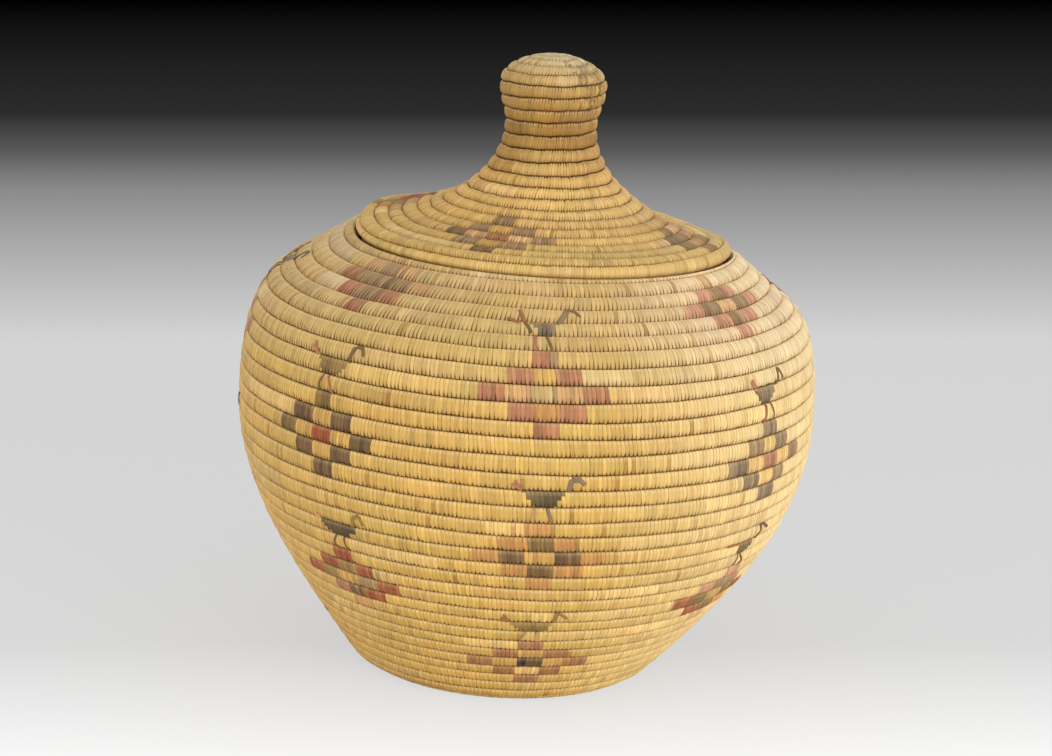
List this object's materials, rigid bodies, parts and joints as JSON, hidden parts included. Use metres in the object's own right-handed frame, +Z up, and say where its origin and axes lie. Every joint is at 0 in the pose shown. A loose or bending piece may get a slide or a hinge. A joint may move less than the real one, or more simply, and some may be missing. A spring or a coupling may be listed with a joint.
{
  "type": "lidded basket",
  "caption": "Round-bellied lidded basket of sewn grass coils, with a lift-off lid that flares up to a waisted knob, and stepped diamonds and birds in dyed stitches.",
  "frame": {"origin": "on the ground under the middle of the belly; the foot stands 5 mm to -X of it and the mouth 3 mm to +X", "axes": "+Z up through the knob, the pictured front faces -Y, +X to the viewer's right"},
  "size_m": [0.2712, 0.2712, 0.2888],
  "materials": {
    "body_grass": "matt sewn grass, golden straw with dyed stitches",
    "lid_grass": "matt sewn grass, deeper golden straw with dyed stitches",
    "rim_grass": "matt sewn grass, plain straw"
  },
  "bodies": {
    "basket": {"floor_start_coil": "body_grass", "floor_coil": "body_grass", "foot_coil": "body_grass", "lower_flank_coil": "body_grass", "upper_flank_coil": "body_grass", "belly_coil": "body_grass", "upper_wall_coil": "body_grass", "shoulder_coil": "body_grass", "mouth_coil": "body_grass", "mouth_ledge_coil": "rim_grass"},
    "lid": {"knob_start_coil": "lid_grass", "knob_top_coil": "lid_grass", "knob_side_coil": "lid_grass", "neck_coil": "lid_grass", "flare_coil": "lid_grass", "lid_slope_coil": "lid_grass", "brim_coil": "lid_grass", "lid_flange_coil": "rim_grass"}
  },
  "joints": [
    {"name": "lid_lift", "type": "slide", "parent": "basket", "child": "lid", "axis": [0, 0, 1], "range_m": [0, 0.15]}
  ]
}
